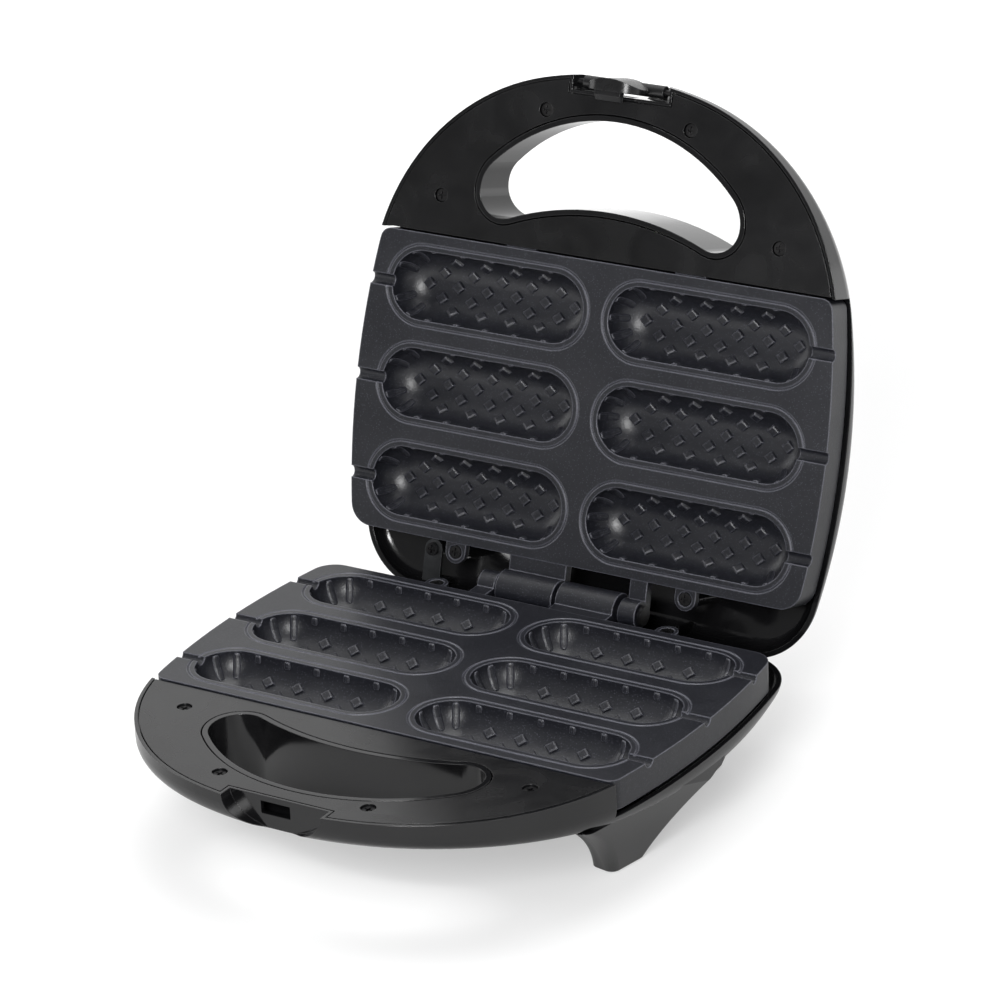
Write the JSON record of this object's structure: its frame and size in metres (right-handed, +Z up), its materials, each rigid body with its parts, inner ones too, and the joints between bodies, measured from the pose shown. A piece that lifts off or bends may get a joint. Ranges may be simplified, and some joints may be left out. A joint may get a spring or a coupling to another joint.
{
  "type": "hot dog toaster",
  "caption": "Clamshell countertop cooker with hot dog cavities, hinged lid, grip openings, latch clip and blade legs.",
  "frame": {"origin": "middle of the outline on the table, under the object with its lid open", "axes": "+Z up, -Y towards the user and the base grip, +X to the right of the user"},
  "size_m": [0.226, 0.2889, 0.2614],
  "materials": {
    "gloss_body": "moulded high gloss",
    "cover_plastic": "moulded satin gloss",
    "plate_coating": "cast with dark non-stick coating",
    "heater_sheath": "drawn tube, heat darkened",
    "shield_sheet": "rolled sheet",
    "thermostat_case": "stamped",
    "bright_steel": "plated",
    "black_screw": "black oxide",
    "pad_rubber": "matte",
    "block_plastic": "moulded",
    "gland_rubber": "matte",
    "bracket_steel": "stamped",
    "red_lens": "clear tinted",
    "green_lens": "clear tinted",
    "clip_plastic": "moulded high gloss"
  },
  "bodies": {
    "base": {"base_shell": "gloss_body", "foot_pads": "pad_rubber", "base_inner_cover": "cover_plastic", "lower_cooking_plate": "plate_coating", "lower_heater": "heater_sheath", "lower_heat_shield": "shield_sheet", "lower_thermostat": "thermostat_case", "lower_shield_screws": "bright_steel", "lower_ear_screws": "black_screw", "base_cover_screws": "black_screw", "thermal_fuse": "bright_steel", "terminal_block": "block_plastic", "cord_gland": "gland_rubber", "hinge_pin": "bright_steel", "hinge_pin_clip": "bright_steel"},
    "lid": {"lid_shell": "gloss_body", "lid_inner_cover": "cover_plastic", "upper_cooking_plate": "plate_coating", "upper_heater": "heater_sheath", "upper_heat_shield": "shield_sheet", "upper_thermostat": "thermostat_case", "upper_shield_screws": "bright_steel", "upper_ear_screws": "black_screw", "lid_cover_screws": "black_screw", "lead_bracket": "bracket_steel", "bracket_screw": "black_screw", "power_lamp_lens": "red_lens", "ready_lamp_lens": "green_lens", "lamp_holder": "block_plastic", "latch_pin": "bright_steel"},
    "latch": {"latch_clip": "clip_plastic"}
  },
  "joints": [
    {"name": "lid_hinge", "type": "hinge", "parent": "base", "child": "lid", "pos_m": [0, 0.0697, 0.0529], "axis": [1, 0, 0], "range_deg": [0, 106.3]},
    {"name": "latch_pivot", "type": "hinge", "parent": "lid", "child": "latch", "pos_m": [0, 0.13525, 0.25388], "axis": [-1, 0, 0], "range_deg": [0, 25]}
  ]
}
